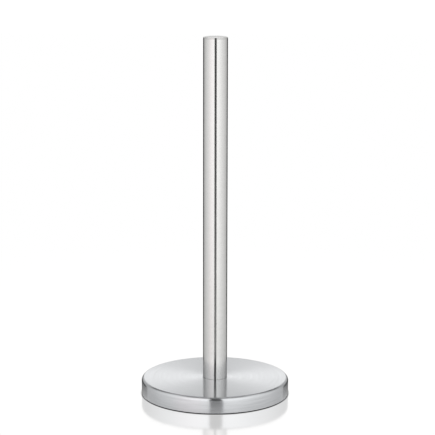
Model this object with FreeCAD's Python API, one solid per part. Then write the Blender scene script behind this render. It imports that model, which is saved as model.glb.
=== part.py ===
"""Paper towel holder: a weighted round foot that carries one upright pole.

Millimetres, +Z up. The origin is on the pole's axis, level with the surface that the holder
stands on. Each function makes one piece, where it sits in the assembled holder.
"""

import FreeCAD
import Part
import math
import os

# ---- Overall sizes
TOTAL_HEIGHT = 340.0
BASE_DIAMETER = 140.0
BASE_HEIGHT = 15.7  # the foot's top face, where the roll rests
POLE_DIAMETER = 23.0

# ---- Drawn shell of the foot
SHELL_SHEET = 0.8
SHELL_EDGE_ROUND = 3.0  # outside, between the top face and the skirt
SHELL_RIM_ROUND = 0.3
SHELL_TO_FLOOR = 0.6  # the shadow gap under the skirt
SEAT_DEPTH = 1.2  # pressed seat that the pole stands in
SEAT_BEND = 0.4
SEAT_CLEARANCE = 0.1  # round the pole's foot

# ---- Ballast
BALLAST_CLEARANCE = 0.3  # to the shell, all round
BALLAST_CHAMFER = 0.8

# ---- Closing plate
PLATE_SHEET = 1.2
PLATE_CLEARANCE = 0.4
PLATE_EDGE_ROUND = 0.3

# ---- Non-slip ring
RING_THICKNESS = 2.0
RING_WIDTH = 18.0
RING_TO_SKIRT = 2.2
RING_EDGE_ROUND = 0.4
GROOVE_COUNT = 3
GROOVE_WIDTH = 1.2
GROOVE_DEPTH = 0.4

# ---- Clamp screw and its washers
CLAMP_THREAD = 8.0
CLAMP_PITCH = 1.25
CLAMP_LENGTH = 20.0  # under the head
CLAMP_HEAD_WIDER = 3.0  # head radius less thread radius
CLAMP_HEAD_HEIGHT = 4.4
CLAMP_HEAD_RIM = 0.6  # straight rim between the dome and the bearing face
CLAMP_SOCKET_FLATS = 5.0
CLAMP_SOCKET_DEPTH = 2.6
CLAMP_HEAD_LIFT = 0.4  # head above the closing plate's underside
CLAMP_TIP_CHAMFER = 0.6
THROUGH_HOLE_CLEARANCE = 0.5  # radial, where the clamp screw passes through
WASHER_CLEARANCE = 0.2  # radial, round the thread
WASHER_EDGE_ROUND = 0.2
FLAT_WASHER_WIDTH = 3.8
FLAT_WASHER_THICKNESS = 1.6
SPRING_WASHER_WIDTH = 3.0
SPRING_WASHER_THICKNESS = 2.0
SPRING_WASHER_GAP = 1.2
SPRING_WASHER_SLANT = 20.0  # degrees
COUNTERBORE_CLEARANCE = 2.0  # radial, round the flat washer
ACCESS_CLEARANCE = 1.0  # the plate's hole is this much wider than the counterbore

# ---- Plate screws
PLATE_SCREW_COUNT = 4
PLATE_SCREW_THREAD = 3.0
PLATE_SCREW_PITCH = 0.5
PLATE_SCREW_LENGTH = 8.0  # overall, head included
PLATE_SCREW_HEAD_WIDER = 1.3
PLATE_SCREW_HEAD_RIM = 0.25
PLATE_SCREW_INSET = 8.0  # inwards from the non-slip ring
PLATE_SCREW_HOLE_DEEPER = 1.0
CROSS_WIDTH = 0.6
CROSS_REACH = 1.6
CROSS_DEPTH = 1.1
CROSS_END_TAPER = 0.45  # the length that each wing loses at each end by its full depth
CROSS_SIDE_TAPER = 0.1
HEAD_FIT_CLEARANCE = 0.05  # between a countersunk head and its countersink

# ---- Threads, as shares of the pitch for a metric thread
THREAD_DEPTH_SHARE = 0.6134
THREAD_FLAT_SHARE = 0.125  # at the root and at the crest
THREAD_CLEARANCE = 0.05  # radial, between a thread's crests and its tapped hole

# ---- Pole
TUBE_WALL = 0.8
TUBE_FOOT_STEP = 0.25  # turned off the tube's outside where it stands in the seat
TUBE_FOOT_REVEAL = 0.3  # the step shows as a fine line this far above the foot's top face
TUBE_DEBURR = 0.2
CAP_FLANGE = 1.5
CAP_EDGE_ROUND = 1.0
CAP_SEAM_CHAMFER = 0.15
CAP_SPIGOT_LENGTH = 12.0
CAP_SPIGOT_WALL = 2.0
CAP_SPIGOT_CHAMFER = 0.8
PLUG_LENGTH = 16.0
PLUG_RAISED = 0.3  # above the tube's lower end, so that the tube alone takes the load
PLUG_CHAMFER = 0.6
PLUG_GROOVE_COUNT = 2
PLUG_GROOVE_WIDTH = 2.0
PLUG_GROOVE_DEPTH = 0.4
TUBE_FIT_CLEARANCE = 0.05  # radial, of the cap's spigot and the plug in the tube

# ---- Limits of the modelling itself
LEAST_ROUND = 0.1  # an inside rounding never gets smaller than this
CUT_OVERRUN = 0.1  # a cut starts this far outside the face that it opens
SAME_POINT = 1e-6

# ---- Levels, upwards from the floor
plate_under = RING_THICKNESS
ballast_under = plate_under + PLATE_SHEET
shell_inside_top = BASE_HEIGHT - SHELL_SHEET
seat_floor = BASE_HEIGHT - SEAT_DEPTH
seat_floor_under = seat_floor - SHELL_SHEET
clamp_head_low = plate_under + CLAMP_HEAD_LIFT
clamp_bearing = clamp_head_low + CLAMP_HEAD_HEIGHT
flat_washer_low = clamp_bearing + SPRING_WASHER_THICKNESS
counterbore_top = flat_washer_low + FLAT_WASHER_THICKNESS
tube_top = TOTAL_HEIGHT - CAP_FLANGE
plug_low = seat_floor + PLUG_RAISED

# ---- Radii
base_r = BASE_DIAMETER / 2
shell_inside_r = base_r - SHELL_SHEET
shell_inside_round = max(SHELL_EDGE_ROUND - SHELL_SHEET, LEAST_ROUND)
pole_r = POLE_DIAMETER / 2
tube_inside_r = pole_r - TUBE_WALL
tube_fit_r = tube_inside_r - TUBE_FIT_CLEARANCE
tube_foot_r = pole_r - TUBE_FOOT_STEP
seat_r = tube_foot_r + SEAT_CLEARANCE
clamp_r = CLAMP_THREAD / 2
through_hole_r = clamp_r + THROUGH_HOLE_CLEARANCE
washer_hole_r = clamp_r + WASHER_CLEARANCE
flat_washer_r = washer_hole_r + FLAT_WASHER_WIDTH
counterbore_r = flat_washer_r + COUNTERBORE_CLEARANCE
access_r = counterbore_r + ACCESS_CLEARANCE
ring_outer_r = shell_inside_r - RING_TO_SKIRT
ring_inner_r = ring_outer_r - RING_WIDTH
plate_screw_r = PLATE_SCREW_THREAD / 2
plate_screw_circle_r = ring_inner_r - PLATE_SCREW_INSET


def edge_rounding(before, corner, after, radius):
    """The two tangent points and the middle of the arc that rounds a corner."""
    to_before = (before - corner).normalize()
    to_after = (after - corner).normalize()
    half = to_before.getAngle(to_after) / 2
    middle_way = (to_before + to_after).normalize()
    reach = radius / math.tan(half)
    centre = corner + middle_way * (radius / math.sin(half))
    start = corner + to_before * reach
    end = corner + to_after * reach
    return start, centre - middle_way * radius, end


def outline(corners):
    """A closed wire in the XZ plane from corners (radius, height) or (radius, height, rounding)."""
    points = [FreeCAD.Vector(c[0], 0, c[1]) for c in corners]
    roundings = [c[2] if len(c) > 2 else 0.0 for c in corners]
    count = len(points)
    stretches = []
    for i in range(count):
        corner = points[i]
        if roundings[i] > 0:
            around = points[i - 1], corner, points[(i + 1) % count]
            stretches.append(edge_rounding(*around, roundings[i]))
        else:
            stretches.append((corner,))
    edges = []
    for i in range(count):
        here = stretches[i]
        following = stretches[(i + 1) % count]
        if len(here) == 3:
            edges.append(Part.Arc(*here).toShape())
        if here[-1].distanceToPoint(following[0]) > SAME_POINT:
            edges.append(Part.LineSegment(here[-1], following[0]).toShape())
    return Part.Wire(edges)


def turned(corners):
    """The solid that an outline sweeps in one turn about the Z axis."""
    face = Part.Face(outline(corners))
    return face.revolve(FreeCAD.Vector(), FreeCAD.Vector(0, 0, 1), 360)


def thread_corners(crest_r, pitch, start, length):
    """The outline of a thread's side, from start upwards, as one ring for each turn."""
    root_r = crest_r - THREAD_DEPTH_SHARE * pitch
    flat = THREAD_FLAT_SHARE * pitch
    flank = pitch / 2 - flat
    turns = int(length / pitch)
    corners = []
    for turn in range(turns):
        low = start + turn * pitch
        corners.append((root_r, low))
        corners.append((root_r, low + flat))
        corners.append((crest_r, low + flat + flank))
        corners.append((crest_r, low + flat + flank + flat))
    corners.append((root_r, start + turns * pitch))
    return corners


def around_axis(shape, count):
    """count copies of a shape, evenly spaced about the Z axis, from half a space past it."""
    copies = []
    for i in range(count):
        copy = shape.copy()
        angle = 360.0 * (i + 0.5) / count
        copy.rotate(FreeCAD.Vector(), FreeCAD.Vector(0, 0, 1), angle)
        copies.append(copy)
    return copies


# ---- The foot


def base_shell():
    """Drawn stainless cup, open below, with a pressed seat for the pole in its top face."""
    return turned([
        (through_hole_r, seat_floor),
        (seat_r, seat_floor, TUBE_DEBURR),
        (seat_r, BASE_HEIGHT, SEAT_BEND),
        (base_r, BASE_HEIGHT, SHELL_EDGE_ROUND),
        (base_r, SHELL_TO_FLOOR, SHELL_RIM_ROUND),
        (shell_inside_r, SHELL_TO_FLOOR),
        (shell_inside_r, shell_inside_top, shell_inside_round),
        (seat_r + SHELL_SHEET, shell_inside_top, SEAT_BEND),
        (seat_r + SHELL_SHEET, seat_floor_under, SEAT_BEND),
        (through_hole_r, seat_floor_under),
    ])


def ballast_disc():
    """Cast weight that fills the shell, counterbored below for the clamp screw."""
    outer_r = shell_inside_r - BALLAST_CLEARANCE
    pocket_r = seat_r + SHELL_SHEET + BALLAST_CLEARANCE
    top_round = shell_inside_round + BALLAST_CLEARANCE
    mouth = SEAT_BEND + BALLAST_CLEARANCE
    casting = turned([
        (through_hole_r, counterbore_top),
        (counterbore_r, counterbore_top),
        (counterbore_r, ballast_under),
        (outer_r - BALLAST_CHAMFER, ballast_under),
        (outer_r, ballast_under + BALLAST_CHAMFER),
        (outer_r, shell_inside_top, top_round),
        (pocket_r + mouth, shell_inside_top),
        (pocket_r, shell_inside_top - mouth),
        (pocket_r, seat_floor_under),
        (through_hole_r, seat_floor_under),
    ])
    holes = around_axis(plate_screw_room(), PLATE_SCREW_COUNT)
    return casting.cut(holes)


def base_plate():
    """Flat steel plate that closes the shell, with a hole for the key to the clamp screw."""
    plate_r = shell_inside_r - PLATE_CLEARANCE
    sheet = turned([
        (access_r, plate_under, PLATE_EDGE_ROUND),
        (plate_r, plate_under, PLATE_EDGE_ROUND),
        (plate_r, ballast_under),
        (access_r, ballast_under),
    ])
    holes = around_axis(plate_screw_room(), PLATE_SCREW_COUNT)
    return sheet.cut(holes)


def non_slip_ring():
    """Rubber ring under the plate, with round grooves in the face that meets the surface."""
    land = (RING_WIDTH - GROOVE_COUNT * GROOVE_WIDTH) / (GROOVE_COUNT + 1)
    corners = [(ring_inner_r, plate_under), (ring_inner_r, 0, RING_EDGE_ROUND)]
    for groove in range(GROOVE_COUNT):
        inner = ring_inner_r + land + groove * (land + GROOVE_WIDTH)
        outer = inner + GROOVE_WIDTH
        corners.append((inner, 0))
        corners.append((inner, GROOVE_DEPTH))
        corners.append((outer, GROOVE_DEPTH))
        corners.append((outer, 0))
    corners.append((ring_outer_r, 0, RING_EDGE_ROUND))
    corners.append((ring_outer_r, plate_under))
    return turned(corners)


# ---- Fasteners of the closing plate


def countersunk_corners(clearance, length):
    """The head's outline, from the axis, in a screw that points upwards from the plate."""
    head_r = plate_screw_r + PLATE_SCREW_HEAD_WIDER + clearance
    neck_r = plate_screw_r + clearance
    rim = PLATE_SCREW_HEAD_RIM + clearance
    return [
        (0, plate_under),
        (head_r, plate_under),
        (head_r, plate_under + rim),
        (neck_r, plate_under + rim + PLATE_SCREW_HEAD_WIDER),
    ]


def plate_screw_room():
    """The space that one plate screw needs in the plate and the ballast."""
    depth = PLATE_SCREW_LENGTH + PLATE_SCREW_HOLE_DEEPER
    hole_r = plate_screw_r + THREAD_CLEARANCE
    corners = countersunk_corners(HEAD_FIT_CLEARANCE, depth)
    corners.append((hole_r, plate_under + depth))
    corners.append((0, plate_under + depth + hole_r))
    room = turned(corners)
    room.translate(FreeCAD.Vector(plate_screw_circle_r, 0, 0))
    return room


def cross_recess():
    """The tapered cross that a screwdriver fits, open downwards."""
    wings = []
    for turn in (0, 90):
        sections = []
        for height, share in ((-CUT_OVERRUN, 0.0), (CROSS_DEPTH, 1.0)):
            half_long = CROSS_REACH - CROSS_END_TAPER * share
            half_wide = CROSS_WIDTH / 2 - CROSS_SIDE_TAPER * share
            corners = [
                FreeCAD.Vector(-half_long, -half_wide, height),
                FreeCAD.Vector(half_long, -half_wide, height),
                FreeCAD.Vector(half_long, half_wide, height),
                FreeCAD.Vector(-half_long, half_wide, height),
            ]
            sections.append(Part.makePolygon(corners + corners[:1]))
        wing = Part.makeLoft(sections, True, True)
        wing.rotate(FreeCAD.Vector(), FreeCAD.Vector(0, 0, 1), turn)
        wings.append(wing)
    recess = wings[0].fuse(wings[1])
    recess.translate(FreeCAD.Vector(0, 0, plate_under))
    return recess


def plate_screws():
    """The countersunk screws that hold the closing plate to the ballast."""
    corners = countersunk_corners(0, PLATE_SCREW_LENGTH)
    thread_start = corners[-1][1]
    thread_length = plate_under + PLATE_SCREW_LENGTH - thread_start
    thread = thread_corners(plate_screw_r, PLATE_SCREW_PITCH, thread_start, thread_length)
    corners += thread
    corners.append((0, thread[-1][1] + thread[-1][0] / 2))
    screw = turned(corners).cut(cross_recess())
    screw.translate(FreeCAD.Vector(plate_screw_circle_r, 0, 0))
    return around_axis(screw, PLATE_SCREW_COUNT)


# ---- The clamp that pulls the pole down onto the foot


def clamp_screw():
    """Button-head screw with a hexagon socket, up through the foot into the pole's plug."""
    head_r = clamp_r + CLAMP_HEAD_WIDER
    dome = CLAMP_HEAD_HEIGHT - CLAMP_HEAD_RIM
    corners = [
        (0, clamp_head_low),
        (head_r, clamp_head_low, dome),
        (head_r, clamp_bearing),
    ]
    thread = thread_corners(clamp_r, CLAMP_PITCH, clamp_bearing, CLAMP_LENGTH)
    tip_r, tip_low = thread[-1]
    tip = tip_low + CLAMP_TIP_CHAMFER
    corners += thread
    corners.append((tip_r - CLAMP_TIP_CHAMFER, tip))
    corners.append((0, tip))
    return turned(corners).cut(hexagon_socket())


def hexagon_socket():
    """The room for the key in the clamp screw's head."""
    corner_r = CLAMP_SOCKET_FLATS / math.sqrt(3)
    corners = []
    for i in range(6):
        angle = math.radians(60 * i)
        x = corner_r * math.cos(angle)
        y = corner_r * math.sin(angle)
        corners.append(FreeCAD.Vector(x, y, clamp_head_low - CUT_OVERRUN))
    face = Part.Face(Part.makePolygon(corners + corners[:1]))
    return face.extrude(FreeCAD.Vector(0, 0, CUT_OVERRUN + CLAMP_SOCKET_DEPTH))


def washer(low, thickness, width):
    """A plain ring round the clamp screw."""
    outer_r = washer_hole_r + width
    high = low + thickness
    return turned([
        (washer_hole_r, low),
        (outer_r, low, WASHER_EDGE_ROUND),
        (outer_r, high, WASHER_EDGE_ROUND),
        (washer_hole_r, high),
    ])


def flat_washer():
    """Spreads the clamp's load on the ballast's counterbore."""
    return washer(flat_washer_low, FLAT_WASHER_THICKNESS, FLAT_WASHER_WIDTH)


def spring_washer():
    """Split washer under the screw's head, drawn pressed flat, with its slanted gap."""
    ring = washer(clamp_bearing, SPRING_WASHER_THICKNESS, SPRING_WASHER_WIDTH)
    reach = washer_hole_r + SPRING_WASHER_WIDTH + CUT_OVERRUN
    tall = SPRING_WASHER_THICKNESS * 2
    corner = FreeCAD.Vector(0, -SPRING_WASHER_GAP / 2, -tall / 2)
    gap = Part.makeBox(reach, SPRING_WASHER_GAP, tall, corner)
    gap.rotate(FreeCAD.Vector(), FreeCAD.Vector(1, 0, 0), SPRING_WASHER_SLANT)
    gap.translate(FreeCAD.Vector(0, 0, clamp_bearing + SPRING_WASHER_THICKNESS / 2))
    return ring.cut(gap)


# ---- The pole


def pole_tube():
    """Round stainless tube, turned down a little at its foot to stand in the seat."""
    shoulder = BASE_HEIGHT + TUBE_FOOT_REVEAL
    return turned([
        (tube_inside_r, seat_floor),
        (tube_foot_r - TUBE_DEBURR, seat_floor),
        (tube_foot_r, seat_floor + TUBE_DEBURR),
        (tube_foot_r, shoulder),
        (pole_r, shoulder),
        (pole_r, tube_top - CAP_SEAM_CHAMFER),
        (pole_r - CAP_SEAM_CHAMFER, tube_top),
        (tube_inside_r, tube_top),
    ])


def pole_cap():
    """Turned end cap, a round-edged disc on a hollow spigot that fits in the tube."""
    spigot_low = tube_top - CAP_SPIGOT_LENGTH
    bore_r = tube_fit_r - CAP_SPIGOT_WALL
    return turned([
        (0, TOTAL_HEIGHT),
        (0, tube_top),
        (bore_r, tube_top, CAP_SPIGOT_WALL / 2),
        (bore_r, spigot_low),
        (tube_fit_r - CAP_SPIGOT_CHAMFER, spigot_low),
        (tube_fit_r, spigot_low + CAP_SPIGOT_CHAMFER),
        (tube_fit_r, tube_top),
        (pole_r - CAP_SEAM_CHAMFER, tube_top),
        (pole_r, tube_top + CAP_SEAM_CHAMFER),
        (pole_r, TOTAL_HEIGHT, CAP_EDGE_ROUND),
    ])


def threaded_plug():
    """Steel plug bonded in the tube's lower end, tapped for the clamp screw."""
    tapped_r = clamp_r + THREAD_CLEARANCE
    high = plug_low + PLUG_LENGTH
    land = (PLUG_LENGTH - PLUG_GROOVE_COUNT * PLUG_GROOVE_WIDTH) / (PLUG_GROOVE_COUNT + 1)
    corners = [
        (tapped_r, plug_low + PLUG_CHAMFER),
        (tapped_r + PLUG_CHAMFER, plug_low),
        (tube_fit_r - PLUG_CHAMFER, plug_low),
        (tube_fit_r, plug_low + PLUG_CHAMFER),
    ]
    for groove in range(PLUG_GROOVE_COUNT):
        low = plug_low + land + groove * (land + PLUG_GROOVE_WIDTH)
        corners.append((tube_fit_r, low))
        corners.append((tube_fit_r - PLUG_GROOVE_DEPTH, low))
        corners.append((tube_fit_r - PLUG_GROOVE_DEPTH, low + PLUG_GROOVE_WIDTH))
        corners.append((tube_fit_r, low + PLUG_GROOVE_WIDTH))
    corners += [
        (tube_fit_r, high - PLUG_CHAMFER),
        (tube_fit_r - PLUG_CHAMFER, high),
        (tapped_r + PLUG_CHAMFER, high),
        (tapped_r, high - PLUG_CHAMFER),
    ]
    return turned(corners)


def holder():
    """Every piece by name, in the order that the holder is put together."""
    pieces = {
        "base_shell": base_shell(),
        "ballast_disc": ballast_disc(),
        "base_plate": base_plate(),
        "non_slip_ring": non_slip_ring(),
        "flat_washer": flat_washer(),
        "spring_washer": spring_washer(),
        "clamp_screw": clamp_screw(),
        "threaded_plug": threaded_plug(),
        "pole_tube": pole_tube(),
        "pole_cap": pole_cap(),
    }
    for number, screw in enumerate(plate_screws(), start=1):
        pieces[f"plate_screw_{number}"] = screw
    return pieces


def main():
    os.makedirs("parts", exist_ok=True)
    for name, shape in holder().items():
        if not shape.isValid() or len(shape.Solids) != 1:
            raise ValueError(f"{name} isn't one valid solid")
        shape.exportStep(f"parts/{name}.step")
        print(f"{name}: {shape.Volume:.1f} mm3")


main()
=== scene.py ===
"""Studio picture of the paper towel holder: brushed stainless foot and pole in a white light tent.

Everything is in metres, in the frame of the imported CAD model: +Z up, the pole's axis through the
origin, and the front towards -Y. Sizes of the holder that the frame doesn't give are named here in
millimetres.
"""

import math

import bmesh
import bpy
from mathutils import Euler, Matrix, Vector


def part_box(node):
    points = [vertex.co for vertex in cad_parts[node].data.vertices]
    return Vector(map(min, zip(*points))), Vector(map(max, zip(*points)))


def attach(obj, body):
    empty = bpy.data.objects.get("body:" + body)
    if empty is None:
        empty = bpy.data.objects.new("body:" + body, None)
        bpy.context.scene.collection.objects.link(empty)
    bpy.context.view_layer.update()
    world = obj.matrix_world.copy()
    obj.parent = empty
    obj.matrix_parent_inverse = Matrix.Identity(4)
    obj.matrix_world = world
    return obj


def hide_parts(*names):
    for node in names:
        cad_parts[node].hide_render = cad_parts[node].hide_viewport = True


MM = 0.001

# ---- Sheet, edges and grooves, in millimetres
SHELL_SHEET = 0.8
SHELL_EDGE_ROUND = 3.0
SHELL_RIM_ROUND = 0.3
SEAT_DEPTH = 1.2
SEAT_RADIUS = 11.35
SEAT_BEND = 0.4
SEAT_CORNER_ROUND = 0.2
THROUGH_HOLE_RADIUS = 4.5
TUBE_WALL = 0.8
TUBE_FOOT_STEP = 0.25
TUBE_FOOT_REVEAL = 0.3
TUBE_EDGE = 0.15
CAP_FLANGE = 1.5
CAP_EDGE_ROUND = 1.0
CAP_SPIGOT_WALL = 2.0
CAP_FIT_CLEARANCE = 0.05
CAP_SPIGOT_CHAMFER = 0.8
RING_WIDTH = 18.0
RING_EDGE_ROUND = 0.4
RING_GROOVES = 3
RING_GROOVE_WIDTH = 1.2
RING_GROOVE_DEPTH = 0.4

# ---- Meshes
FOOT_SEGMENTS = 288
POLE_SEGMENTS = 128
ROUND_STEPS = 10
SHARP_ANGLE = math.radians(35.0)  # an edge that turns more than this is shaded sharp
UV_MAP = "OFBake"

# ---- Brushing: fine and broad lines round the Z axis, as two layers of noise
FINE_TURNS = 3.0  # noise cells in one radian of turn: fewer cells make longer lines
BROAD_TURNS = 1.5
BROAD_WIDTH = 7  # in fine lines
BROAD_SHARE = 0.6
LINE_NOISE = {"Scale": 1.0, "Detail": 2.0, "Roughness": 0.6}
LINE_ROUGH_RANGE = (0.25, 0.75)  # the part of the noise that spans the whole change in roughness
LINE_SHADE_RANGE = (0.2, 0.8)
BRUSHED_ALONG_U = 0.25  # turns of the anisotropy from the UV map's tangent

# ---- Grain: one even noise for castings, paint, rubber and plating
GRAIN_NOISE = {"Detail": 3.0, "Roughness": 0.55}
GRAIN_RANGE = (0.3, 0.7)
GRAIN_ROUGH_CHANGE = 0.2
GRAIN_SHADE_CHANGE = 0.15

# ---- Camera: stands in front of the holder and looks slightly down on it
CAMERA_DISTANCE = 1.560
CAMERA_HEIGHT = 0.478
CAMERA_DOWN = math.radians(11.15)
CAMERA_AIM_RIGHT = math.radians(0.078)
CAMERA_ROLL = math.radians(0.115)
CAMERA_LENS = 140.09  # mm, as is the sensor
CAMERA_SENSOR = 36.0
CAMERA_CLIP = (0.05, 50.0)

# ---- Light tent: directions in degrees, azimuth from the camera's side and positive to its right,
# brightness where 1 is white, and each fade or rise as where it starts and ends
HALF_TURN = 180.0
WALL_LIGHT = [  # (share of the half turn from front to back, half of the brightness)
    (0.0, 0.71), (0.15, 0.705), (0.25, 0.64), (0.37, 0.545), (0.505, 0.46), (0.59, 0.39),
    (0.65, 0.35), (0.72, 0.27), (0.755, 0.03), (0.80, 0.02), (1.0, 0.02),
]
WALL_LIGHT_SCALE = 2.0
WALL_TURN = 0.5  # to the right
SIDE_LIGHT_ABOVE = 0.55  # the walls' least light above the horizon
SIDE_RISE = (1.0, 7.0)
SLIT_CENTRE = 1.3
SLIT_HALF = 10.1
SLIT_EDGE = 0.8
SLIT_LEAN = 3.0  # how much farther right the slit is at the low end of its lean
SLIT_LEAN_FADE = (-17.0, -5.0)
SLIT_LIGHT = 0.05
SLIT_LIGHT_ABOVE = 0.07
SLIT_RISE = (-3.0, 6.0)
SLIT_TOP_FADE = (54.0, 62.0)
OVERHEAD_LIGHT = 0.12
OVERHEAD_FADE = (56.0, 67.0)
BACKDROP_LOW = 0.55
BACKDROP_LIGHT = 1.16
BACKDROP_RISE = (2.0, 10.0)
BACKDROP_SIDE_FADE = (9.5, 12.5)  # from straight behind
BACKDROP_TOP_FADE = (27.5, 35.5)
CEILING_LIGHT = 0.7
CEILING_RISE = (48.0, 56.0)
CEILING_FADE = (78.0, 86.0)
BEHIND_RISE = (120.0, 140.0)
TABLE_LIGHT = 0.56
TABLE_LIGHT_BEHIND = 1.0
TABLE_BEHIND_RISE = (122.0, 150.0)
TABLE_LIGHT_AHEAD = 0.85
TABLE_AHEAD_EDGE = 2.0
TABLE_SHADE = 0.08
TABLE_SHADE_FADE = (-60.0, -32.0)
TABLE_END = (-20.0, -15.0)  # where the table gives way to the walls and the backdrop
WARM_AZIMUTH = -42.0
WARM_FADE = (12.0, 34.0)
WARM_TINT = (1.035, 1.0, 1.0, 1.0)
PLAIN_TINT = (1.005, 1.0, 0.995, 1.0)
WHITE = (1.0, 1.0, 1.0, 1.0)
BACKGROUND_LIGHT = 1.05  # what the camera sees behind everything

# ---- Floor, in metres
FLOOR_SIDE = 4.0
FLOOR_LIGHT = 0.555
FLOOR_GLOSS = 0.4
FLOOR_ROUGHNESS = 0.12
FLOOR_GLOSS_FADE = (0.25, 0.75)  # from the pole's axis
FLOOR_GRAZING_RISE = (0.15, 0.6)  # of Layer Weight: no gloss where the floor is seen from above
# width of the painted contact shadow that rings the foot on the floor
FOOT_SHADE_WIDTH = 0.0014

# ---- Materials: the width of a line, the size of a grain and the depth of relief are in metres
STEELS = {
    "foot_steel": {
        "colour": (0.635, 0.65, 0.67), "roughness": 0.22, "rough_change": 0.12,
        "shade_change": 0.13, "anisotropy": 0.97, "line": 0.00022, "depth": 0.0000003,
    },
    "pole_steel": {
        "colour": (0.66, 0.66, 0.653), "roughness": 0.15, "rough_change": 0.03,
        "shade_change": 0.05, "anisotropy": 1.0, "line": 0.0006, "depth": 0.0,
    },
    "cap_steel": {
        "colour": (0.64, 0.64, 0.633), "roughness": 0.11, "rough_change": 0.1,
        "shade_change": 0.04, "anisotropy": 0.7, "line": 0.0002, "depth": 0.0,
    },
}
GRAINED = {
    "ring_rubber": {
        "colour": (0.03, 0.03, 0.031), "metallic": 0.0, "roughness": 0.75,
        "grain": 0.0006, "depth": 0.00002,
    },
    "plate_paint": {
        "colour": (0.03, 0.03, 0.032), "metallic": 0.0, "roughness": 0.5,
        "grain": 0.0008, "depth": 0.00003,
    },
    "cast_weight": {
        "colour": (0.1, 0.1, 0.105), "metallic": 0.6, "roughness": 0.7,
        "grain": 0.0015, "depth": 0.0001,
    },
    "zinc_steel": {
        "colour": (0.56, 0.57, 0.6), "metallic": 1.0, "roughness": 0.28,
        "grain": 0.001, "depth": 0.000004,
    },
    "plug_steel": {
        "colour": (0.45, 0.45, 0.46), "metallic": 1.0, "roughness": 0.35,
        "grain": 0.001, "depth": 0.000004,
    },
}
NODE_MATERIALS = {
    "ballast_disc": "cast_weight",
    "base_plate": "plate_paint",
    "clamp_screw": "zinc_steel",
    "spring_washer": "zinc_steel",
    "flat_washer": "zinc_steel",
    "threaded_plug": "plug_steel",
}
PLATE_SCREWS = 4
PLATE_SCREW_MATERIAL = "zinc_steel"


# ---- Node helpers


class Nodes:
    """Adds nodes to one tree and links them, with the inputs given by name or number."""

    def __init__(self, tree):
        self.tree = tree
        self.tree.nodes.clear()

    def add(self, kind, inputs=(), **settings):
        node = self.tree.nodes.new(kind)
        for name, value in settings.items():
            setattr(node, name, value)
        for name, value in dict(inputs).items():
            if isinstance(value, bpy.types.NodeSocket):
                self.tree.links.new(value, node.inputs[name])
            else:
                node.inputs[name].default_value = value
        return node

    def math(self, operation, *values):
        """A math node's result from one to three numbers or sockets."""
        return self.add("ShaderNodeMath", dict(enumerate(values)), operation=operation).outputs[0]

    def vector_math(self, operation, *values, output="Vector"):
        inputs = dict(enumerate(values))
        return self.add("ShaderNodeVectorMath", inputs, operation=operation).outputs[output]

    def scaled(self, vector, factor):
        inputs = {0: vector, "Scale": factor}
        return self.add("ShaderNodeVectorMath", inputs, operation="SCALE").outputs[0]

    def span(self, value, low, high, to_low=0.0, to_high=1.0, smooth=False):
        """value mapped from low..high to to_low..to_high, and held at the ends."""
        inputs = {
            "Value": value, "From Min": low, "From Max": high, "To Min": to_low, "To Max": to_high,
        }
        kind = "SMOOTHSTEP" if smooth else "LINEAR"
        node = self.add("ShaderNodeMapRange", inputs, interpolation_type=kind, clamp=True)
        return node.outputs[0]

    def fall(self, value, start, end):
        """1 up to start and 0 from end on."""
        return self.span(value, start, end, 1.0, 0.0)

    def curve(self, value, points):
        """A smooth curve through (value, result) points, both from 0 to 1."""
        node = self.add("ShaderNodeFloatCurve", {"Value": value})
        line = node.mapping.curves[0]
        line.points[0].location = points[0]
        line.points[-1].location = points[-1]
        for x, y in points[1:-1]:
            line.points.new(x, y)
        for point in line.points:
            point.handle_type = "AUTO_CLAMPED"
        node.mapping.update()
        return node.outputs[0]

    def blend(self, share, first, second):
        """first where share is 0 and second where it is 1, for plain numbers."""
        inputs = {"Factor": share, "A": first, "B": second}
        return self.add("ShaderNodeMix", inputs, data_type="FLOAT").outputs[0]


def new_material(name):
    """An empty material and the helper that fills its nodes."""
    material = bpy.data.materials.new(name)
    material.use_nodes = True
    return material, Nodes(material.node_tree)


# ---- Turned meshes


def rounded(corners):
    """The points of a closed outline of (radius, height) or (radius, height, rounding), in mm."""
    points = []
    count = len(corners)
    for i, corner in enumerate(corners):
        here = Vector(corner[:2])
        rounding = corner[2] if len(corner) > 2 else 0.0
        if rounding <= 0:
            points.append(here)
            continue
        to_before = (Vector(corners[i - 1][:2]) - here).normalized()
        to_after = (Vector(corners[(i + 1) % count][:2]) - here).normalized()
        half = to_before.angle(to_after) / 2
        centre = here + (to_before + to_after).normalized() * (rounding / math.sin(half))
        start = here + to_before * (rounding / math.tan(half)) - centre
        turn = start.angle_signed(here + to_after * (rounding / math.tan(half)) - centre)
        for step in range(ROUND_STEPS + 1):
            angle = -turn * step / ROUND_STEPS
            spoke = Vector((
                start.x * math.cos(angle) - start.y * math.sin(angle),
                start.x * math.sin(angle) + start.y * math.cos(angle),
            ))
            points.append(centre + spoke)
    return points


def turned_rings(mesh, points, segments):
    """A ring of vertices for each outline point, or one vertex shared all round on the axis."""
    rings = []
    for point in points:
        ring = []
        for k in range(segments):
            angle = 2 * math.pi * k / segments
            place = (point.x * math.cos(angle), point.x * math.sin(angle), point.y)
            ring.append(mesh.verts.new(Vector(place) * MM))
            if point.x == 0:
                ring *= segments
                break
        rings.append(ring)
    return rings


def add_face(mesh, uv, corners):
    """A smooth face through (vertex, u, v) corners, or none where fewer than three differ."""
    unique = []
    for corner in corners:
        if corner[0] not in [other[0] for other in unique]:
            unique.append(corner)
    if len(unique) < 3:
        return
    face = mesh.faces.new([vertex for vertex, _, _ in unique])
    face.smooth = True
    for loop, (_, u, v) in zip(face.loops, unique):
        loop[uv].uv = (u, v)


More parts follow.
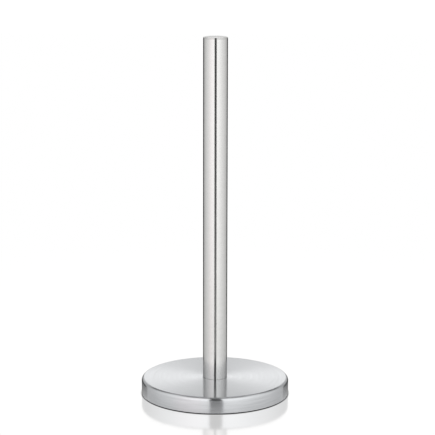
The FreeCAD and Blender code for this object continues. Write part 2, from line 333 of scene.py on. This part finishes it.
def turned(name, corners, segments):
    """A mesh object swept by an outline in one turn about Z, with U round the axis in its UV map."""
    points = rounded(corners)
    count = len(points)
    lengths = [0.0]
    for i in range(count):
        lengths.append(lengths[-1] + (points[(i + 1) % count] - points[i]).length)
    along = [length / lengths[-1] for length in lengths]
    mesh = bmesh.new()
    uv = mesh.loops.layers.uv.new(UV_MAP)
    rings = turned_rings(mesh, points, segments)
    for i in range(count):
        low, high = rings[i], rings[(i + 1) % count]
        for k in range(segments):
            after = (k + 1) % segments
            here, there = k / segments, (k + 1) / segments
            add_face(mesh, uv, [
                (low[k], here, along[i]),
                (low[after], there, along[i]),
                (high[after], there, along[i + 1]),
                (high[k], here, along[i + 1]),
            ])
    bmesh.ops.recalc_face_normals(mesh, faces=mesh.faces)
    for edge in mesh.edges:
        if len(edge.link_faces) == 2 and edge.calc_face_angle() > SHARP_ANGLE:
            edge.smooth = False
    data = bpy.data.meshes.new(name)
    mesh.to_mesh(data)
    mesh.free()
    piece = bpy.data.objects.new(name, data)
    bpy.context.scene.collection.objects.link(piece)
    return piece


def stands_for(piece, node, material):
    """Puts a piece in a CAD node's place, with its body, material slot and material."""
    piece.data.materials.append(material)
    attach(piece, "root")
    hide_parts(node)


def levels(node):
    """A CAD node's outer radius, lowest level and highest level, in millimetres."""
    low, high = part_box(node)
    return high.x / MM, low.z / MM, high.z / MM


# ---- Materials


def streaks(n, line, turns):
    """Noise from 0 to 1 in lines round the Z axis, each about as wide as line, in metres."""
    place = n.add("ShaderNodeTexCoord").outputs["Object"]
    flat = n.vector_math("MULTIPLY", place, (1.0, 1.0, 0.0))
    radius = n.vector_math("LENGTH", flat, output="Value")
    spoke = n.vector_math("NORMALIZE", flat)
    height = n.add("ShaderNodeSeparateXYZ", {0: place}).outputs["Z"]
    across = n.math("DIVIDE", n.math("SUBTRACT", radius, height), line)
    rise = n.add("ShaderNodeCombineXYZ", {"Z": across}).outputs[0]
    stretched = n.vector_math("ADD", n.scaled(spoke, turns), rise)
    return n.add("ShaderNodeTexNoise", {"Vector": stretched, **LINE_NOISE}).outputs["Fac"]


def brushed_steel(name, colour, roughness, rough_change, shade_change, anisotropy, line, depth):
    """Stainless steel brushed round the Z axis, with fine lines in its gloss, shade and relief."""
    material, n = new_material(name)
    fine = streaks(n, line, FINE_TURNS)
    broad = streaks(n, line * BROAD_WIDTH, BROAD_TURNS)
    lines = n.blend(BROAD_SHARE, fine, broad)
    smoothest, roughest = roughness * (1 - rough_change), roughness * (1 + rough_change)
    shade = n.span(lines, *LINE_SHADE_RANGE, 1 - shade_change, 1 + shade_change)
    tangent = n.add("ShaderNodeTangent", direction_type="UV_MAP", uv_map=UV_MAP)
    steel = n.add("ShaderNodeBsdfPrincipled", {
        "Base Color": n.scaled(colour, shade),
        "Metallic": 1.0,
        "Roughness": n.span(lines, *LINE_ROUGH_RANGE, smoothest, roughest),
        "Anisotropic": anisotropy,
        "Anisotropic Rotation": BRUSHED_ALONG_U,
        "Tangent": tangent.outputs[0],
    })
    if depth > 0:
        relief = n.add("ShaderNodeBump", {"Strength": 1.0, "Distance": depth, "Height": fine})
        n.tree.links.new(relief.outputs[0], steel.inputs["Normal"])
    n.add("ShaderNodeOutputMaterial", {"Surface": steel.outputs[0]})
    return material


def grained(name, colour, metallic, roughness, grain, depth):
    """A surface with a fine even grain, such as paint, casting, rubber or plating."""
    material, n = new_material(name)
    place = n.add("ShaderNodeTexCoord").outputs["Object"]
    inputs = {"Vector": place, "Scale": 1 / grain, **GRAIN_NOISE}
    noise = n.add("ShaderNodeTexNoise", inputs).outputs["Fac"]
    smoothest = roughness * (1 - GRAIN_ROUGH_CHANGE)
    roughest = min(1.0, roughness * (1 + GRAIN_ROUGH_CHANGE))
    shade = n.span(noise, *GRAIN_RANGE, 1 - GRAIN_SHADE_CHANGE, 1 + GRAIN_SHADE_CHANGE)
    bump = n.add("ShaderNodeBump", {"Strength": 1.0, "Distance": depth, "Height": noise})
    shader = n.add("ShaderNodeBsdfPrincipled", {
        "Base Color": n.scaled(colour, shade),
        "Metallic": metallic,
        "Roughness": n.span(noise, *GRAIN_RANGE, smoothest, roughest),
        "Normal": bump.outputs[0],
    })
    n.add("ShaderNodeOutputMaterial", {"Surface": shader.outputs[0]})
    return material


# ---- Pieces


def foot_shell(material):
    """The drawn shell of the foot, with its edge round, skirt and pressed seat."""
    outer, rim, top = levels("base_shell")
    inner = outer - SHELL_SHEET
    seat_floor = top - SEAT_DEPTH
    under = top - SHELL_SHEET
    hole = THROUGH_HOLE_RADIUS
    piece = turned("foot_shell", [
        (hole, seat_floor),
        (SEAT_RADIUS, seat_floor, SEAT_CORNER_ROUND),
        (SEAT_RADIUS, top, SEAT_BEND),
        (outer, top, SHELL_EDGE_ROUND),
        (outer, rim, SHELL_RIM_ROUND),
        (inner, rim),
        (inner, under, SHELL_EDGE_ROUND - SHELL_SHEET),
        (SEAT_RADIUS + SHELL_SHEET, under, SEAT_BEND),
        (SEAT_RADIUS + SHELL_SHEET, seat_floor - SHELL_SHEET, SEAT_BEND),
        (hole, seat_floor - SHELL_SHEET),
    ], FOOT_SEGMENTS)
    stands_for(piece, "base_shell", material)


def pole(material):
    """The tube, turned down at its foot."""
    outer, low, high = levels("pole_tube")
    foot = outer - TUBE_FOOT_STEP
    shoulder = levels("base_shell")[2] + TUBE_FOOT_REVEAL
    inner = outer - TUBE_WALL
    piece = turned("pole", [
        (inner, low),
        (foot, low, TUBE_EDGE),
        (foot, shoulder),
        (outer, shoulder),
        (outer, high, TUBE_EDGE),
        (inner, high),
    ], POLE_SEGMENTS)
    stands_for(piece, "pole_tube", material)


def pole_end_cap(material):
    """The turned cap, with its hollow spigot in the tube."""
    outer, low, high = levels("pole_cap")
    seam = high - CAP_FLANGE
    fit = outer - TUBE_WALL - CAP_FIT_CLEARANCE
    bore = fit - CAP_SPIGOT_WALL
    piece = turned("pole_end_cap", [
        (0.0, high),
        (0.0, seam),
        (bore, seam, CAP_SPIGOT_WALL / 2),
        (bore, low),
        (fit - CAP_SPIGOT_CHAMFER, low),
        (fit, low + CAP_SPIGOT_CHAMFER),
        (fit, seam),
        (outer, seam, TUBE_EDGE),
        (outer, high, CAP_EDGE_ROUND),
    ], POLE_SEGMENTS)
    stands_for(piece, "pole_cap", material)


def grip_ring(material):
    """The grooved rubber ring that the holder stands on."""
    outer, low, high = levels("non_slip_ring")
    inner = outer - RING_WIDTH
    land = (RING_WIDTH - RING_GROOVES * RING_GROOVE_WIDTH) / (RING_GROOVES + 1)
    corners = [(inner, high), (inner, low, RING_EDGE_ROUND)]
    for groove in range(RING_GROOVES):
        start = inner + land + groove * (land + RING_GROOVE_WIDTH)
        end = start + RING_GROOVE_WIDTH
        corners.append((start, low))
        corners.append((start, low + RING_GROOVE_DEPTH))
        corners.append((end, low + RING_GROOVE_DEPTH))
        corners.append((end, low))
    corners += [(outer, low, RING_EDGE_ROUND), (outer, high)]
    piece = turned("grip_ring", corners, FOOT_SEGMENTS)
    stands_for(piece, "non_slip_ring", material)


# ---- Studio


def directions(n):
    """The world's azimuth from the camera's side and elevation from the horizon, in degrees."""
    direction = n.add("ShaderNodeTexCoord").outputs["Generated"]
    axes = n.add("ShaderNodeSeparateXYZ", {0: direction}).outputs
    front = n.math("MULTIPLY", axes["Y"], -1.0)
    azimuth = n.math("MULTIPLY", n.math("ARCTAN2", axes["X"], front), HALF_TURN / math.pi)
    elevation = n.math("MULTIPLY", n.math("ARCSINE", axes["Z"]), HALF_TURN / math.pi)
    return azimuth, elevation


def angle_between(n, azimuth, other):
    return n.math("ABSOLUTE", n.math("SUBTRACT", azimuth, other))


def slit_distance(n, azimuth, elevation):
    """Degrees from the middle of the slit, which leans to one side below the horizon."""
    lean = n.span(elevation, *SLIT_LEAN_FADE, SLIT_LEAN, 0.0)
    return angle_between(n, azimuth, n.math("ADD", lean, SLIT_CENTRE))


def tent_walls(n, azimuth, elevation, from_slit):
    """Bright to the front, dim to the back, and dark in the slit on the camera's side."""
    from_front = angle_between(n, azimuth, WALL_TURN)
    walls = n.curve(n.math("DIVIDE", from_front, HALF_TURN), WALL_LIGHT)
    walls = n.math("MULTIPLY", walls, WALL_LIGHT_SCALE)
    walls = n.math("MAXIMUM", walls, n.span(elevation, *SIDE_RISE, 0.0, SIDE_LIGHT_ABOVE))
    slit = n.span(elevation, *SLIT_RISE, SLIT_LIGHT, SLIT_LIGHT_ABOVE)
    slit = n.blend(n.span(elevation, *SLIT_TOP_FADE), slit, walls)
    beyond = n.span(from_slit, SLIT_HALF - SLIT_EDGE, SLIT_HALF + SLIT_EDGE)
    return n.blend(beyond, slit, walls)


def tent_back(n, azimuth, elevation, walls):
    """A bright backdrop between the walls, dark above it, and a ceiling panel higher up."""
    from_back = n.math("SUBTRACT", HALF_TURN, n.math("ABSOLUTE", azimuth))
    strip = n.span(elevation, *BACKDROP_RISE, BACKDROP_LOW, BACKDROP_LIGHT, smooth=True)
    strip = n.blend(n.span(from_back, *BACKDROP_SIDE_FADE), strip, walls)
    back = n.blend(n.span(elevation, *BACKDROP_TOP_FADE, smooth=True), strip, OVERHEAD_LIGHT)
    under_ceiling = n.span(elevation, *CEILING_RISE)
    ceiling = n.math("MULTIPLY", under_ceiling, n.fall(elevation, *CEILING_FADE))
    return n.blend(ceiling, back, CEILING_LIGHT)


def tent_table(n, azimuth, elevation, from_slit):
    """The pale table below the horizon, with the holder's own shade straight down."""
    behind = n.span(
        n.math("ABSOLUTE", azimuth), *TABLE_BEHIND_RISE, TABLE_LIGHT, TABLE_LIGHT_BEHIND, smooth=True
    )
    ahead = n.fall(from_slit, SLIT_HALF - TABLE_AHEAD_EDGE, SLIT_HALF + TABLE_AHEAD_EDGE)
    table = n.blend(ahead, behind, TABLE_LIGHT_AHEAD)
    return n.blend(n.span(elevation, *TABLE_SHADE_FADE), TABLE_SHADE, table)


def tent_tint(n, azimuth):
    """White, with a little red in it on the left of the camera's side."""
    plain = n.span(angle_between(n, azimuth, WARM_AZIMUTH), *WARM_FADE, smooth=True)
    tint = n.add("ShaderNodeMix", {"Factor": plain}, data_type="RGBA")
    first, second = (socket for socket in tint.inputs if socket.type == "RGBA")
    first.default_value = WARM_TINT
    second.default_value = PLAIN_TINT
    return next(socket for socket in tint.outputs if socket.type == "RGBA")


def light_tent():
    """The world: a bright tent all round that only the pieces see, and plain white for the camera."""
    world = bpy.data.worlds.new("light_tent")
    bpy.context.scene.world = world
    world.use_nodes = True
    n = Nodes(world.node_tree)
    azimuth, elevation = directions(n)
    from_slit = slit_distance(n, azimuth, elevation)
    walls = tent_walls(n, azimuth, elevation, from_slit)
    front = n.blend(n.span(elevation, *OVERHEAD_FADE, smooth=True), walls, OVERHEAD_LIGHT)
    back = tent_back(n, azimuth, elevation, walls)
    behind = n.span(n.math("ABSOLUTE", azimuth), *BEHIND_RISE, smooth=True)
    upper = n.blend(behind, front, back)
    table = tent_table(n, azimuth, elevation, from_slit)
    light = n.blend(n.span(elevation, *TABLE_END, smooth=True), table, upper)

    tent = n.add("ShaderNodeBackground", {"Color": tent_tint(n, azimuth), "Strength": light})
    white = n.add("ShaderNodeBackground", {"Color": WHITE, "Strength": BACKGROUND_LIGHT})
    seen = n.add("ShaderNodeLightPath").outputs["Is Camera Ray"]
    both = n.add("ShaderNodeMixShader", {0: seen, 1: tent.outputs[0], 2: white.outputs[0]})
    n.add("ShaderNodeOutputWorld", {"Surface": both.outputs[0]})


def floor_material():
    """Pale and glossy round the foot, plain white farther off, and clear from below, with a painted
    contact shadow: no glow under the foot, rising to full over a narrow band past its edge.
    """
    material, n = new_material("floor_gloss")
    place = n.add("ShaderNodeTexCoord").outputs["Object"]
    away = n.vector_math("LENGTH", place, output="Value")
    foot_edge = levels("base_shell")[0] * MM
    # painted contact shadow: the floor's glow is nothing under the foot and rises to full over
    # FOOT_SHADE_WIDTH past its edge
    painted_contact_shadow = n.span(away, foot_edge, foot_edge + FOOT_SHADE_WIDTH)
    near = n.span(away, *FLOOR_GLOSS_FADE, 1.0, 0.0, smooth=True)
    facing = n.add("ShaderNodeLayerWeight").outputs["Facing"]
    glossy = n.math("MULTIPLY", near, n.span(facing, *FLOOR_GRAZING_RISE, smooth=True))
    strength = n.math("MULTIPLY", painted_contact_shadow, n.blend(glossy, 1.0, FLOOR_LIGHT))
    glow = n.add("ShaderNodeEmission", {"Color": WHITE, "Strength": strength})
    gloss = n.math("MULTIPLY", glossy, FLOOR_GLOSS)
    shine = n.add("ShaderNodeCombineXYZ", {"X": gloss, "Y": gloss, "Z": gloss}).outputs[0]
    mirror = n.add("ShaderNodeBsdfGlossy", {"Color": shine, "Roughness": FLOOR_ROUGHNESS})
    top = n.add("ShaderNodeAddShader", {0: glow.outputs[0], 1: mirror.outputs[0]})
    clear = n.add("ShaderNodeBsdfTransparent")
    from_below = n.add("ShaderNodeNewGeometry").outputs["Backfacing"]
    both = n.add("ShaderNodeMixShader", {0: from_below, 1: top.outputs[0], 2: clear.outputs[0]})
    n.add("ShaderNodeOutputMaterial", {"Surface": both.outputs[0]})
    return material


def floor():
    """A table top that mirrors the foot faintly and leaves no trace in the steel."""
    mesh = bpy.data.meshes.new("floor")
    side = FLOOR_SIDE
    corners = [(-side, -side, 0), (side, -side, 0), (side, side, 0), (-side, side, 0)]
    mesh.from_pydata(corners, [], [(0, 1, 2, 3)])
    mesh.materials.append(floor_material())
    piece = bpy.data.objects.new("floor", mesh)
    bpy.context.scene.collection.objects.link(piece)
    piece.visible_glossy = False
    piece.visible_diffuse = False


def camera():
    """The camera, where the holder is seen from the front and a little from above."""
    data = bpy.data.cameras.new("camera")
    data.lens = CAMERA_LENS
    data.sensor_width = CAMERA_SENSOR
    data.clip_start, data.clip_end = CAMERA_CLIP
    eye = bpy.data.objects.new("camera", data)
    bpy.context.scene.collection.objects.link(eye)
    eye.location = (0.0, -CAMERA_DISTANCE, CAMERA_HEIGHT)
    look = Euler((math.pi / 2 - CAMERA_DOWN, 0.0, -CAMERA_AIM_RIGHT), "XYZ").to_matrix()
    roll = Euler((0.0, 0.0, CAMERA_ROLL), "XYZ").to_matrix()
    eye.rotation_euler = (look @ roll).to_euler()
    bpy.context.scene.camera = eye


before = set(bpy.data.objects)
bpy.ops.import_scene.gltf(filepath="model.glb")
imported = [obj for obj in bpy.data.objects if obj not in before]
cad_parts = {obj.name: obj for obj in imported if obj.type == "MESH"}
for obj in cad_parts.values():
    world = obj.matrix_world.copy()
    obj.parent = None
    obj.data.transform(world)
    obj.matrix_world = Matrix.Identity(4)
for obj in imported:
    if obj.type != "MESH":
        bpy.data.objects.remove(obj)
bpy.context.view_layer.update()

materials = {name: brushed_steel(name, **look) for name, look in STEELS.items()}
materials.update({name: grained(name, **look) for name, look in GRAINED.items()})

foot_shell(materials["foot_steel"])
pole(materials["pole_steel"])
pole_end_cap(materials["cap_steel"])
grip_ring(materials["ring_rubber"])

node_materials = dict(NODE_MATERIALS)
for number in range(1, PLATE_SCREWS + 1):
    node_materials[f"plate_screw_{number}"] = PLATE_SCREW_MATERIAL
for node, name in node_materials.items():
    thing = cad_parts[node]
    thing.data.materials.clear()
    thing.data.materials.append(materials[name])

light_tent()
floor()
camera()
bpy.context.scene.view_settings.view_transform = "Standard"
